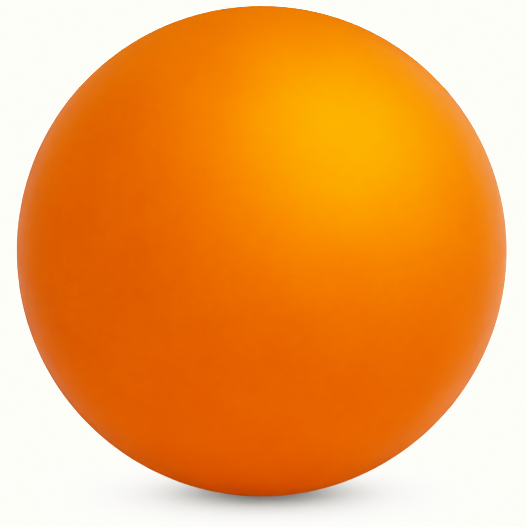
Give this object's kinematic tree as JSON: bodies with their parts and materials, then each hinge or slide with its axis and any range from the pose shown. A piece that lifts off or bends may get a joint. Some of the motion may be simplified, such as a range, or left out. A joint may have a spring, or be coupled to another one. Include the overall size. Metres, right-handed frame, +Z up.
{
  "type": "table tennis ball",
  "caption": "Hollow satin orange plastic ball, bonded from half shells at a lapped seam, for striking with bats across a table tennis table.",
  "frame": {"origin": "centre of the ball", "axes": "+Z up from the point it rests on; the seam lies in the XZ plane, so +Y runs along the seam's axis from the front half shell to the rear one; +X to the right seen from the front"},
  "size_m": [0.04, 0.04, 0.04],
  "materials": {
    "shell_plastic": "satin",
    "cement": "gloss"
  },
  "bodies": {
    "root": {"front_half_shell": "shell_plastic", "rear_half_shell": "shell_plastic", "seam_cement": "cement"}
  },
  "joints": []
}
